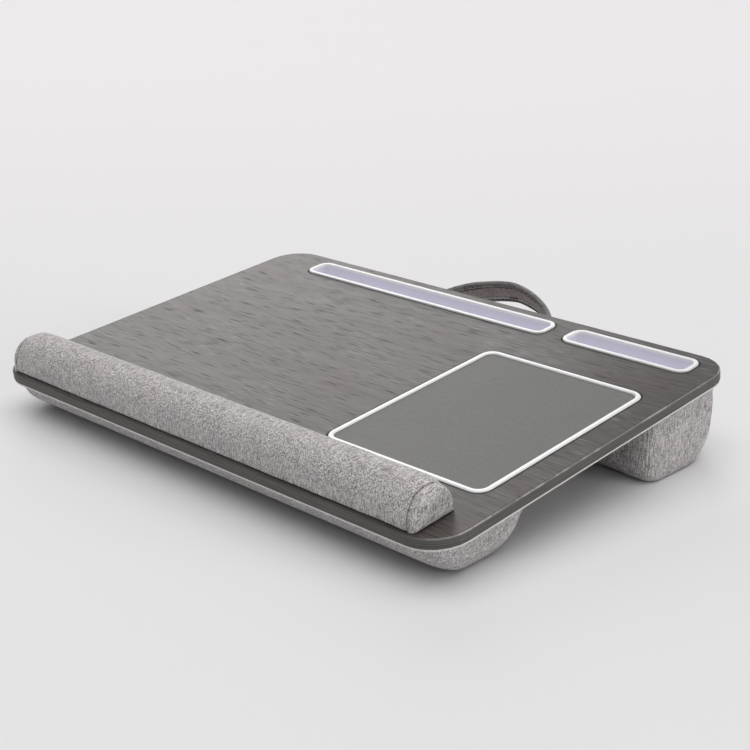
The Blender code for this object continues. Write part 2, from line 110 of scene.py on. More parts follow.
class LapDeskSizes(bpy.types.PropertyGroup):
    """Sizes that the new pieces share with the frame."""

    board_tilt: angle_property(
        "Board tilt", "How far the board leans towards the user", math.radians(6.3))
    board_height: length_property(
        "Board height", "Height of the middle of the board's top face", 0.0585)
    board_offset: length_property(
        "Board offset", "How far the board's middle lies before the part's middle", 0.0236814)
    seat_gap: length_property(
        "Seat gap", "Clearance between pieces that touch", 0.0003)
    hem_radius: length_property(
        "Hem radius", "Radius of the backing cloth's rolled hem", 0.0008)
    lining_corner: length_property(
        "Lining corner", "Radius of the backing cloth's corners", 0.0306)
    cushion_top: length_property(
        "Cushion top", "How far below the board's top face the cushions begin", 0.0096)
    corner_seam_inset: length_property(
        "Corner seam inset", "From the rear cushion's walls to its upright corner seams", 0.0018)
    corner_seam_spacing: length_property(
        "Corner seam spacing", "Distance between the two ridges of a corner seam", 0.0026)
    rim_overhang: length_property(
        "Rim overhang", "How far the troughs' rims reach beyond their bodies, less a gap", 0.0013)

    rest_length: length_property(
        "Wrist rest length", "Length between the wrist rest's two seams", 0.463)
    rest_offset: length_property(
        "Wrist rest offset", "How far left of the board's middle the wrist rest lies", 0.0035)
    rest_setback: length_property(
        "Wrist rest setback", "How far before the board's middle the wrist rest lies", 0.15475)
    rest_depth: length_property(
        "Wrist rest depth", "Front to rear size of the wrist rest", 0.0445)
    rest_height: length_property(
        "Wrist rest height", "Height of the wrist rest", 0.030)
    rest_seam_depth: length_property(
        "Seam depth", "Front to rear size of the wrist rest at its seams", 0.043)
    rest_seam_height: length_property(
        "Seam height", "Height of the wrist rest at its seams", 0.026)
    rest_end_round: length_property(
        "End round", "Length over which the wrist rest draws in to its seams", 0.011)
    rest_panel_crown: length_property(
        "Panel crown", "How far the wrist rest's end panels bulge", 0.0072)
    welt_width: length_property(
        "Welt width", "Width of the piping in the wrist rest's seams", 0.0010)

    strap_half_span: length_property(
        "Strap half span", "From the middle of the strap to the middle of each end", 0.069)
    strap_reach: length_property(
        "Strap reach", "How far the strap's arch stands out", 0.0400)
    strap_width: length_property(
        "Strap width", "Width of the strap", 0.0250)
    strap_thickness: length_property(
        "Strap thickness", "Thickness of the strap over its rolled hems", 0.0048)
    strap_hem: length_property(
        "Hem width", "Width of the strap's rolled hems, up to their stitches", 0.0036)
    strap_raise: angle_property(
        "Strap raise", "How far the strap stands above the level at rest", math.radians(31))
    strap_end_room: length_property(
        "Strap end room", "How much narrower the strap is at its round ends", 0.0007)
    strap_taper: length_property(
        "Strap taper", "How far the strap stands out where it has its full width", 0.030)
    strap_seam_width: length_property(
        "Seam width", "Width of the two sewn channels beside each of the strap's hems", 0.0014)
    stitch_pitch: length_property(
        "Stitch pitch", "Distance from one stitch to the next", 0.0030)
    stitch_length: length_property(
        "Stitch length", "Length of a stitch", 0.0021)


class LapDeskColours(bpy.types.PropertyGroup):
    """Colours of the finishes."""

    cloth_light: colour_property(
        "Light yarn", "Light yarn of the heathered cloth", (0.735, 0.722, 0.717))
    cloth_dark: colour_property(
        "Dark yarn", "Dark yarn of the heathered cloth", (0.20, 0.19, 0.19))
    strap_inside: colour_property(
        "Strap inside", "Brown-grey cloth inside the strap", (0.42, 0.37, 0.36))
    thread: colour_property(
        "Thread", "Sewing thread", (0.68, 0.655, 0.645))
    grain_light: colour_property(
        "Light grain", "Light streaks of the woodgrain sheet", (0.098, 0.094, 0.091))
    grain_dark: colour_property(
        "Dark grain", "Dark streaks of the woodgrain sheet", (0.038, 0.036, 0.035))
    edge: colour_property(
        "Edge band", "Band round the board's edge", (0.086, 0.084, 0.080))
    lining: colour_property(
        "Lining", "Cloth under the board", (0.56, 0.545, 0.53))
    pad: colour_property(
        "Mouse pad", "Leather-look sheet of the mouse pad", (0.145, 0.146, 0.139))
    white: colour_property(
        "White plastic", "Rims of the troughs and of the pad", (0.88, 0.88, 0.89))
    # The troughs' inner walls carry painted shade: a lilac-grey in place of the white
    trough_inside_shade: colour_property(
        "Trough inside", "Satin inside of the troughs", (0.76, 0.745, 0.84))
    fibreboard: colour_property(
        "Fibreboard", "Core of the board", (0.35, 0.27, 0.20))
    # The floor is painted lighter from near to far: a painted falloff of light
    floor_near: colour_property(
        "Near floor", "Floor before the part", (0.765, 0.765, 0.775))
    floor_far: colour_property(
        "Far floor", "Floor behind the part", (0.82, 0.805, 0.825))


# Shader trees


class Signal:
    """An output of a shader tree that can be used in sums like a number."""

    def __init__(self, tree, socket):
        self.tree = tree
        self.socket = socket

    def sum_of(self, operation, first, second):
        return self.tree.node("ShaderNodeMath", {"operation": operation}, {0: first, 1: second})

    def __add__(self, other):
        return self.sum_of("ADD", self, other)

    def __sub__(self, other):
        return self.sum_of("SUBTRACT", self, other)

    def __rsub__(self, other):
        return self.sum_of("SUBTRACT", other, self)

    def __mul__(self, other):
        return self.sum_of("MULTIPLY", self, other)

    def __truediv__(self, other):
        return self.sum_of("DIVIDE", self, other)

    def __abs__(self):
        return self.sum_of("ABSOLUTE", self, 0)

    __radd__ = __add__
    __rmul__ = __mul__

    def rise(self, low, high):
        """0 below low, 1 above high, and smooth between them."""
        return self.tree.node("ShaderNodeMapRange", {"interpolation_type": "SMOOTHSTEP"},
                              {"Value": self, "From Min": low, "From Max": high})

    def band(self, middle, half_width):
        """1 at middle, falling to 0 at half_width from it."""
        return 1 - abs(self - middle).rise(0, half_width)


class Tree:
    """A node tree, to which nodes are added with their settings first and then their sockets."""

    def __init__(self, node_tree):
        self.nodes = node_tree.nodes
        self.links = node_tree.links

    def feed(self, socket, value):
        if isinstance(value, Signal):
            self.links.new(value.socket, socket)
        else:
            socket.default_value = value

    def node(self, kind, settings=None, sockets=None, output=0):
        made = self.nodes.new(kind)
        for name, value in (settings or {}).items():
            setattr(made, name, value)
        for name, value in (sockets or {}).items():
            self.feed(made.inputs[name], value)
        return Signal(self, made.outputs[output])

    def place(self):
        return self.node("ShaderNodeTexCoord", output=3)

    def mapped(self, vector, turn=(0, 0, 0), scale=(1, 1, 1), shift=(0, 0, 0)):
        return self.node("ShaderNodeMapping", None, {
            "Vector": vector, "Rotation": turn, "Scale": scale, "Location": shift})

    def noise(self, vector, scale=1.0, detail=2.0, roughness=0.5):
        return self.node("ShaderNodeTexNoise", None, {
            "Vector": vector, "Scale": scale, "Detail": detail, "Roughness": roughness})

    def cells(self, vector, scale, randomness):
        """Distance to the nearest of many scattered points."""
        return self.node("ShaderNodeTexVoronoi", None, {
            "Vector": vector, "Scale": scale, "Randomness": randomness})

    def vector(self, operation, first, second=(0, 0, 0)):
        """Vector maths on one or two vectors; LENGTH gives a number."""
        return self.node("ShaderNodeVectorMath", {"operation": operation}, {0: first, 1: second},
                         output=1 if operation == "LENGTH" else 0)

    def along(self, axis, vector):
        """A vector's coordinate along X, Y or Z."""
        return self.node("ShaderNodeSeparateXYZ", None, {0: vector}, output="XYZ".index(axis))

    def mix(self, share, first, second, blend="MIX"):
        """Blend two colours."""
        return self.node("ShaderNodeMix", {"data_type": "RGBA", "blend_type": blend},
                         {0: share, 6: solid(first), 7: solid(second)}, output=2)


class Finish(Tree):
    """A material in the making, with one Principled shader."""

    def __init__(self, name, **constants):
        self.material = bpy.data.materials.new(name)
        self.material.use_nodes = True
        super().__init__(self.material.node_tree)
        self.shader = self.nodes["Principled BSDF"]
        for socket, value in constants.items():
            self.set(socket.replace("_", " ").title().replace("Ior", "IOR"), value)

    def set(self, socket, value):
        self.feed(self.shader.inputs[socket], value)

    def complete(self, colour, roughness, height, strength, depth):
        """Connect colour, roughness and a bump by height, and give the material."""
        self.set("Base Color", colour)
        self.set("Roughness", roughness)
        self.set("Normal", self.node("ShaderNodeBump", None, {
            "Height": height, "Strength": strength, "Distance": depth}))
        return self.material


def solid(colour):
    """A colour of three numbers as the four that a socket takes; a signal stays as it is."""
    return colour if isinstance(colour, Signal) else (*colour[:3], 1.0)


def shade(colour, factor):
    return tuple(channel * factor for channel in colour[:3])


def sizes():
    return bpy.context.scene.lap_desk_sizes


def colours():
    return bpy.context.scene.lap_desk_colours


def board_matrix():
    """From the board's own frame, with the middle of its top face as origin, to the row's frame."""
    s = sizes()
    return (Matrix.Translation((0, -s.board_offset, s.board_height))
            @ Matrix.Rotation(s.board_tilt, 4, "X"))


def board_spans(node):
    """The lowest and highest place of a CAD node along each axis of the board's own frame."""
    to_board = board_matrix().inverted()
    points = [to_board @ vertex.co for vertex in frame["nodes"][node].data.vertices]
    return [(min(places), max(places)) for places in zip(*points)]


def board_turn():
    """The turn that lays the board's own directions along a pattern's axes."""
    return (-sizes().board_tilt, 0, 0)


def board_place(finish):
    """Place in the board's own frame."""
    s = sizes()
    centred = finish.mapped(finish.place(), shift=(0, s.board_offset, -s.board_height))
    return finish.mapped(centred, turn=board_turn())


def beyond_outline(finish, place, node, corner):
    """Distance outside a node's outline on the board, a rectangle with round corners."""
    (left, right), (front, rear), _ = board_spans(node)
    centred = finish.mapped(place, shift=(-(left + right) / 2, -(front + rear) / 2, 0))
    straight = ((right - left) / 2 - corner, (rear - front) / 2 - corner, 1.0)
    past = finish.vector("SUBTRACT", finish.vector("ABSOLUTE", centred), straight)
    return finish.vector("LENGTH", finish.vector("MAXIMUM", past)) - corner


def heathered_cloth(name, light, dark, turn=(0, 0, 0), long_grain=(1, 1, 1)):
    """Plain-woven melange cloth: thick and thin yarns of two greys, with dark flecks.

    long_grain is the weight of the yarns that run along each axis.
    """
    finish = Finish(name, sheen_weight=0.12, sheen_roughness=0.45)
    place = finish.mapped(finish.place(), turn=turn)
    per_metre_across, per_metre_along = 1180.0, 150.0
    yarns = []
    for axis, weight in enumerate(long_grain):
        stretch = [per_metre_across] * 3
        stretch[axis] = per_metre_along
        yarns.append(finish.noise(finish.mapped(place, scale=stretch), roughness=0.6) * weight)
    woven = (yarns[0] + yarns[1] + yarns[2]) / sum(long_grain)
    fleck = finish.noise(place, 1250.0, roughness=0.6)
    colour = finish.mix((woven * 0.75 + fleck * 0.25).rise(0.415, 0.585), dark, light)
    drift = finish.noise(place, 26.0, 3.0, 0.6).rise(0.3, 0.7)
    colour = finish.mix(drift * 0.4, colour, (1.0, 0.955, 0.935), "MULTIPLY")
    cloud = finish.noise(place, 75.0).rise(0.35, 0.7)
    colour = finish.mix(cloud * 0.42, colour, (0.79, 0.79, 0.82), "MULTIPLY")
    dark_fleck = finish.noise(place, 850.0, roughness=0.6).rise(0.62, 0.70)
    colour = finish.mix(dark_fleck * 0.5, colour, shade(dark, 0.45))
    return finish.complete(colour, 0.86 + fleck * 0.14, woven * 0.7 + fleck * 0.3, 0.55, 0.0006)


def woodgrain(name):
    """Dark grey-brown woodgrain sheet: streaks, brown patches, fine strokes, pores and a broad darker
    patch on the right.

    A thin line of painted contact shade runs round the rims that are let into it.
    """
    c = colours()
    finish = Finish(name, specular_ior_level=0.38)
    place = board_place(finish)
    wander = finish.noise(finish.mapped(place, scale=(9, 30, 30))) - 0.5
    warp = finish.node("ShaderNodeCombineXYZ", None, {"Y": wander * 0.006})
    warped = finish.vector("ADD", place, warp)
    bands = finish.noise(finish.mapped(warped, scale=(4, 75, 40)), 1.0, 3.0, 0.55)
    streaks = finish.noise(finish.mapped(warped, scale=(20, 430, 60)), roughness=0.55)
    tone = (bands * 0.55 + streaks * 0.45).rise(0.28, 0.72)
    colour = finish.mix(tone, c.grain_dark, c.grain_light)

    patches = finish.noise(finish.mapped(place, scale=(10, 15, 10)))
    colour = finish.mix(patches.rise(0.46, 0.64) * 0.8, colour, (0.95, 0.80, 0.76), "MULTIPLY")
    # A broad patch, darker and browner, centred over the right half of the board
    from_right_patch = finish.mapped(place, scale=(6.5, 5.5, 0), shift=(-1.5, -0.25, 0))
    right_patch = 1 - finish.vector("LENGTH", from_right_patch).rise(0.1, 1.0)
    colour = finish.mix(right_patch * 0.8, colour, (0.52, 0.47, 0.47), "MULTIPLY")

    slanted = finish.mapped(place, turn=(0, 0, 0.03), scale=(52, 620, 60))
    strokes = finish.noise(slanted, 1.0, 1.0, 0.4).rise(0.56, 0.70)
    share = 0.14 + (1 - patches.rise(0.38, 0.52)) * 0.26
    colour = finish.mix(strokes * share, colour, (0.25, 0.245, 0.24))
    pores = finish.noise(finish.mapped(warped, scale=(40, 560, 80)), 1.0, 1.0, 0.4)
    pores = pores.rise(0.58, 0.72)
    colour = finish.mix(pores * 0.45, colour, shade(c.grain_dark, 0.4))

    # Painted contact shade: a thin dark line round each rim, where the sheet is also rougher
    rim_shade = 0
    for node, corner in RIM_CORNERS.items():
        rim_shade = 1 - beyond_outline(finish, place, node, corner).rise(0.0006, 0.0022) + rim_shade
    colour = finish.mix(rim_shade * 0.8, colour, shade(c.grain_dark, 0.2))
    return finish.complete(colour, 0.34 + streaks * 0.12 + pores * 0.2 + rim_shade * 0.5,
                           streaks * 0.5 - pores * 0.5, 0.18, 0.0003)


def edge_finish(name):
    """Plastic edge band: dark, with two fine lines along it and a worn upper arris that also carries a
    painted highlight, kept off the front edge.
    """
    c = colours()
    finish = Finish(name)
    place = board_place(finish)
    height = finish.along("Z", place)
    streaks = finish.noise(finish.mapped(place, scale=(30, 30, 1500)))
    colour = finish.mix(streaks.rise(0.3, 0.7), shade(c.edge, 0.72), shade(c.edge, 1.22))
    lines = height.band(-0.0036, 0.0005) + height.band(-0.0057, 0.0004)
    colour = finish.mix(lines * 0.55, colour, shade(c.edge, 0.35))
    colour = finish.mix(height.band(-0.0080, 0.0009) * 0.55, colour, shade(c.edge, 0.25))
    colour = finish.mix(height.band(-0.0046, 0.0006) * 0.25, colour, shade(c.edge, 1.9))
    # The upper arris is lightened by patchy wear and a painted highlight, which is left off the front
    # edge
    arris = (height + 0.00095).rise(0, 0.0004)
    wear_and_highlight = 0.35 + finish.noise(place, 60.0, 3.0, 0.6).rise(0.4, 0.65) * 0.65
    highlight_behind_front = (finish.along("Y", place) + 0.177).rise(-0.002, 0.010)
    colour = finish.mix(arris * wear_and_highlight * highlight_behind_front, colour, (0.36, 0.335, 0.315))
    return finish.complete(colour, 0.46 + streaks * 0.14, streaks * 0.4 - lines * 0.8, 0.3, 0.0003)


def pad_finish(name):
    """Leather-look sheet with a fine pebbled grain."""
    c = colours()
    finish = Finish(name, specular_ior_level=0.38)
    place = finish.place()
    pebbles = finish.cells(place, 1050.0, 0.9)
    soft = finish.noise(place, 420.0, 3.0, 0.6)
    tone = (pebbles * 0.6 + soft * 0.4).rise(0.2, 0.7)
    colour = finish.mix(tone, shade(c.pad, 1.10), shade(c.pad, 0.86))
    patches = finish.noise(place, 14.0).rise(0.35, 0.65)
    colour = finish.mix(patches * 0.5, colour, (0.95, 0.96, 0.93), "MULTIPLY")
    return finish.complete(colour, 0.46 + soft * 0.14, 1 - pebbles, 0.22, 0.0003)


def white_finish(name, inside_depth):
    """Moulded white plastic, satin below inside_depth under the board's top, where it is painted a
    little lilac-grey shade.
    """
    c = colours()
    finish = Finish(name)
    place = board_place(finish)
    # Below inside_depth the white turns to painted lilac-grey shade, and the plastic is more satin
    inside = 1 - (finish.along("Z", place) + inside_depth).rise(-0.0012, 0.0006)
    haze = finish.noise(place, 60.0, 3.0, 0.6)
    colour = finish.mix(inside, c.white, c.trough_inside_shade)
    colour = finish.mix(haze.rise(0.3, 0.8) * 0.10, colour, (0.93, 0.93, 0.94), "MULTIPLY")
    return finish.complete(colour, 0.24 + inside * 0.22 + haze * 0.06,
                           finish.noise(place, 1400.0), 0.06, 0.0002)


def lining_finish(name):
    """Thin non-woven backing cloth with a fine embossed grid and a pale hem."""
    c = colours()
    finish = Finish(name, sheen_weight=0.1)
    place = board_place(finish)
    fibre = finish.noise(place, 700.0, 3.0, 0.65)
    clump = finish.noise(place, 120.0, 3.0, 0.6)
    pins = finish.cells(place, 480.0, 0.15)
    colour = finish.mix(fibre.rise(0.35, 0.65), shade(c.lining, 0.80), shade(c.lining, 1.12))
    colour = finish.mix(clump.rise(0.45, 0.75) * 0.3, colour, shade(c.lining, 0.75))
    hem = beyond_outline(finish, place, "base_lining", sizes().lining_corner).rise(-0.003, -0.001)
    colour = finish.mix(hem * 0.9, colour, (0.86, 0.84, 0.82))
    return finish.complete(colour, 0.85 + fibre * 0.12, pins * 0.7 + fibre * 0.3, 0.4, 0.0003)


def fibreboard_finish(name):
    """Raw fibreboard: pressed brown fibres."""
    c = colours()
    finish = Finish(name)
    place = finish.place()
    fibre = finish.noise(finish.mapped(place, scale=(1, 1, 2.5)), 900.0, 3.0, 0.7)
    cloud = finish.noise(place, 90.0)
    colour = finish.mix(fibre.rise(0.3, 0.7), shade(c.fibreboard, 0.7), shade(c.fibreboard, 1.25))
    colour = finish.mix(cloud.rise(0.4, 0.7) * 0.3, colour, shade(c.fibreboard, 0.8))
    return finish.complete(colour, 0.80 + fibre * 0.15, fibre, 0.4, 0.0003)


def thread_finish(name):
    """Twisted sewing thread."""
    c = colours()
    finish = Finish(name, sheen_weight=0.1)
    twist = finish.noise(finish.place(), 2600.0)
    colour = finish.mix(twist.rise(0.35, 0.65), shade(c.thread, 0.75), shade(c.thread, 1.15))
    return finish.complete(colour, 0.7 + twist * 0.2, twist, 0.3, 0.0002)


made_finishes = {}


def finish_of(name, make, *arguments):
    """The finish of that name, made the first time it is asked for."""
    if name not in made_finishes:
        made_finishes[name] = make(name, *arguments)
    return made_finishes[name]


def cloth(name):
    """One of the heathered cloths: its light and dark yarn, and how its weave lies."""
    c = colours()
    light, dark, inside = c.cloth_light, c.cloth_dark, c.strap_inside
    looks = {
        "heathered cloth": (light, dark, board_turn(), (0.35, 1.0, 1.0)),
        "heathered cloth, upright grain": (light, dark, (0, 0, 0), (0.6, 0.6, 1.2)),
        "heathered strap cloth": (shade(light, 0.46), shade(dark, 0.5)),
        "brown-grey strap lining": (shade(inside, 1.3), shade(inside, 0.6)),
        # The stitch grooves are a darker copy of the strap lining: painted shade
        "strap stitch groove": (shade(inside, 0.5), shade(inside, 0.25)),
        "strap ridge between seams": (light, shade(light, 0.6)),
        "pale hem cloth": ((0.90, 0.885, 0.87), (0.66, 0.64, 0.63)),
    }
    return finish_of(name, heathered_cloth, *looks[name])


# Mesh helpers


def deselect():
    if bpy.context.object is not None and bpy.context.object.mode != "OBJECT":
        bpy.ops.object.mode_set(mode="OBJECT")
    bpy.ops.object.select_all(action="DESELECT")


def pick(piece):
    deselect()
    piece.select_set(True)
    bpy.context.view_layer.objects.active = piece


def apply_all(piece):
    """Apply a piece's modifiers in order."""
    pick(piece)
    for modifier in list(piece.modifiers):
        bpy.ops.object.modifier_apply(modifier=modifier.name)


def new_piece(name, bm):
    """An object at the origin from a bmesh, with outward faces."""
    bmesh.ops.recalc_face_normals(bm, faces=bm.faces)
    mesh = bpy.data.meshes.new(name)
    bm.to_mesh(mesh)
    bm.free()
    piece = bpy.data.objects.new(name, mesh)
    bpy.context.scene.collection.objects.link(piece)
    return piece


def lofted(rings, endless=False):
    """A closed body through rings of points; an endless one joins its last ring to its first."""
    bm = bmesh.new()
    loops = [[bm.verts.new(point) for point in ring] for ring in rings]
    if endless:
        loops.append(loops[0])
    else:
        bm.faces.new(loops[0])
        bm.faces.new(loops[-1])
    for first, second in zip(loops, loops[1:]):
        for i in range(len(first)):
            j = (i + 1) % len(first)
            bm.faces.new((first[i], first[j], second[j], second[i]))
    return bm


def smooth(piece, angle=math.radians(40)):
    pick(piece)
    bpy.ops.object.shade_smooth_by_angle(angle=angle)


def dress(piece, finish, body, slot, *nodes):
    """Give a piece its finish and body, and hide the CAD nodes that it stands for; slot is not used."""
    piece.data.materials.clear()
    for material in (finish if isinstance(finish, tuple) else (finish,)):
        piece.data.materials.append(material)
    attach(piece, body)
    if nodes:
        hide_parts(*nodes)
    return piece


def repaint(node, finish):
    """Give a kept CAD node a better material."""
    item = frame["nodes"][node]
    if not item.material_slots:
        item.data.materials.append(finish)
    for place in item.material_slots:
        place.material = finish


def evened(piece, voxel):
    """Give a closed form even quads."""
    remesh = piece.modifiers.new("even mesh", "REMESH")
    remesh.mode = "VOXEL"
    remesh.voxel_size = voxel
    apply_all(piece)


def reshaped(piece, moved):
    """Move each point of a piece to moved(point, normal)."""
    before = [(vertex.co.copy(), vertex.normal.copy()) for vertex in piece.data.vertices]
    for vertex, (point, normal) in zip(piece.data.vertices, before):
        vertex.co = moved(point, normal)
    piece.data.update()


def puffed(piece, distance, held):
    """Push the points of a form outward, other than those held."""
    reshaped(piece, lambda point, normal: point if held(point) else point + normal * distance)


def stuffed(piece, cap, held):
    """Blow a closed cover up by a cloth simulation, with no point moved further than cap.

    held(point) is true for the points that rest against the board and stay where they are.
    """
    start = [vertex.co.copy() for vertex in piece.data.vertices]
    cover = piece.modifiers.new("stuffing", "CLOTH")
    for name, value in (("quality", 5), ("mass", 0.2), ("tension_stiffness", 12),
                        ("compression_stiffness", 12), ("shear_stiffness", 6),
                        ("bending_stiffness", 0.6), ("use_pressure", True),
                        ("uniform_pressure_force", 4.0)):
        setattr(cover.settings, name, value)
    cover.settings.effector_weights.gravity = 0
    cover.collision_settings.use_collision = False
    cover.point_cache.frame_start = 1
    cover.point_cache.frame_end = STUFFING_FRAMES
    for number in range(1, STUFFING_FRAMES + 1):
        bpy.context.scene.frame_set(number)
    seen = piece.evaluated_get(bpy.context.evaluated_depsgraph_get())
    swollen = [vertex.co.copy() for vertex in seen.data.vertices]
    piece.modifiers.remove(cover)
    bpy.context.scene.frame_set(1)
    for vertex, before, after in zip(piece.data.vertices, start, swollen):
        step = after - before
        if step.length > cap:
            step *= cap / step.length
        vertex.co = before if held(before) else before + step
    piece.data.update()


def subdivided(piece):
    """Subdivide a piece once."""
    finer = piece.modifiers.new("finer", "SUBSURF")
    finer.levels = 1
    finer.render_levels = 1
    apply_all(piece)


def merged_copy(node, name):
    """A copy of a CAD node's mesh with its loose triangles joined."""
    bm = bmesh.new()
    bm.from_mesh(frame["nodes"][node].data)
    bmesh.ops.remove_doubles(bm, verts=bm.verts, dist=1e-6)
    return new_piece(name, bm)


def seam_ridge(name, route, carrier):
    """A low sewn ridge along a route of points, sunk a little into the cloth that carries it."""
    radius, flatness, sink = 0.00085, 0.8, 0.0002
    tree = BVHTree.FromObject(carrier, bpy.context.evaluated_depsgraph_get())
    points = []
    for point in route:
        found, normal, _, _ = tree.find_nearest(point)
        points.append((found - normal * sink, normal))
    rings = []
    last = len(points) - 1
    for i, (point, normal) in enumerate(points):
        run = (points[min(i + 1, last)][0] - points[max(i - 1, 0)][0]).normalized()
        side = run.cross(normal).normalized()
        up = side.cross(run).normalized()
        taper = 0.35 if i in (0, last) else 1.0
        rings.append([point + (side * math.cos(turn) * radius
                               + up * math.sin(turn) * radius * flatness) * taper
                      for turn in ROUND])
    piece = new_piece(name, lofted(rings))
    piece.data.shade_smooth()
    return piece


def sewn_row(name, body, flatness, places):
    """A row of thread: one stitch, long along x, is modelled and copied to each place."""
    deselect()
    bpy.ops.mesh.primitive_uv_sphere_add(segments=6, ring_count=5,
                                         radius=sizes().stitch_length / 2)
    pattern = bpy.context.object
    bpy.ops.object.mode_set(mode="EDIT")
    bpy.ops.transform.resize(value=(1, *flatness))
    bpy.ops.object.mode_set(mode="OBJECT")
    bm = bmesh.new()
    for place in places:
        stitch = pattern.data.copy()
        stitch.transform(place)
        bm.from_mesh(stitch)
        bpy.data.meshes.remove(stitch)
    bpy.data.objects.remove(pattern)
    row = new_piece(name, bm)
    row.data.shade_smooth()
    dress(row, finish_of("sewing thread", thread_finish), body, "heathered_fabric")


# Pieces


def build_cushion(which, slack, flare):
    """One bolster: the cloth over the foam, swollen, flat under the board and on the floor.

    slack is the height of its ripples, and flare how far its walls lean out under the board.
    """
    s = sizes()
    piece = merged_copy(which + "_cushion_foam", which + "_cushion")
    from_board = board_matrix()
    to_board = from_board.inverted()
    ceiling = -s.cushion_top
    rim = s.rim_overhang
    low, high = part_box(which + "_cushion_cover")
    troughs = [board_spans(node) for node in ("tray_insert", "phone_slot_insert")]

    def inside_walls(point):
        return (low.x + SEAT_MARGIN < point.x < high.x - SEAT_MARGIN
                and low.y + SEAT_MARGIN < point.y < high.y - SEAT_MARGIN)

    def held(point):
        return (to_board @ point).z > ceiling - SEAT_DEPTH and inside_walls(point)

    def settled(point, normal):
        """Ripple a point, lean it out under the board, and keep it off what lies round it."""
        ripple = noise.noise(point * 55) * slack + noise.noise(point * 140) * slack * 0.35
        if not inside_walls(point):
            point = point + normal * ripple
        lean = min(max(1 + ((to_board @ point).z - ceiling) / FLARE_HEIGHT, 0), 1) ** 1.5
        own = to_board @ (point + Vector((normal.x * flare[0], normal.y * flare[1], 0)) * lean)
        own.z = min(own.z, ceiling)
        for (left, right), (front, rear), (bottom, _) in troughs:
            if left + rim < own.x < right - rim and front + rim < own.y < rear - rim:
                own.z = min(own.z, bottom - TROUGH_ROOM)
        place = from_board @ own
        place.z = max(place.z, 0)
        return place

    evened(piece, 0.003)
    puffed(piece, CUSHION_SWELL, held)
    stuffed(piece, CUSHION_SWELL, held)
    subdivided(piece)
    reshaped(piece, settled)
    piece.data.shade_smooth()
    return dress(piece, cloth("heathered cloth, upright grain"), "table", "heathered_fabric",
                 which + "_cushion_cover", which + "_cushion_foam")


class LAP_DESK_OT_cushions(bpy.types.Operator):
    """Make the two bolsters, swollen by a cloth simulation, with their sewn corner seams"""

    bl_idname = "lap_desk.cushions"
    bl_label = "Cushions"

    def execute(self, context):
        s = sizes()
        build_cushion("front", 0.0004, (0.0048, 0.0040))
        rear = build_cushion("rear", 0.0005, (0.0048, 0))
        low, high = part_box("rear_cushion_cover")
        for side, direction in (("left", -1), ("right", 1)):
            for row, across in (("inner", -1), ("outer", 1)):
                step = across * s.corner_seam_spacing / 2
                x = (high.x - s.corner_seam_inset + step) * direction
                y = low.y + s.corner_seam_inset + step
                route = [Vector((x, y, 0.003 + 0.050 * k / 60)) for k in range(61)]
                seam = seam_ridge("rear_cushion_seam_" + side + "_" + row, route, rear)
                dress(seam, cloth("heathered cloth, upright grain"), "table", "heathered_fabric")
        return {"FINISHED"}


def rest_section(x, inset, count, base=0, upright=False):
    """The wrist rest's D-shaped section at x from its middle, in the row's frame.

    The inset fades to nothing at the base, unless the section is upright there.
    """
    s = sizes()
    into_round = abs(x) - (s.rest_length / 2 - s.rest_end_round)
    fullness = math.sqrt(1 - min(max(into_round, 0) / s.rest_end_round, 1) ** 2)
    height = s.rest_seam_height + (s.rest_height - s.rest_seam_height) * fullness
    depth = s.rest_seam_depth + (s.rest_depth - s.rest_seam_depth) * fullness
    from_board = board_matrix()
    ring = []
    for step in range(count + 1):
        angle = math.pi * step / count
        across = math.copysign(abs(math.cos(angle)) ** REST_POWER, math.cos(angle))
        z = s.seat_gap + (height - inset) * max(math.sin(angle), 0) ** REST_POWER
        draw_in = inset * (1 if upright else math.sin(angle))
        ring.append(from_board @ Vector((
            x - s.rest_offset, (depth / 2 - draw_in) * across - s.rest_setback, z)))
    for step in range(1, base + 1):
        ring.append(ring[count].lerp(ring[0], step / (base + 1)))
    return ring


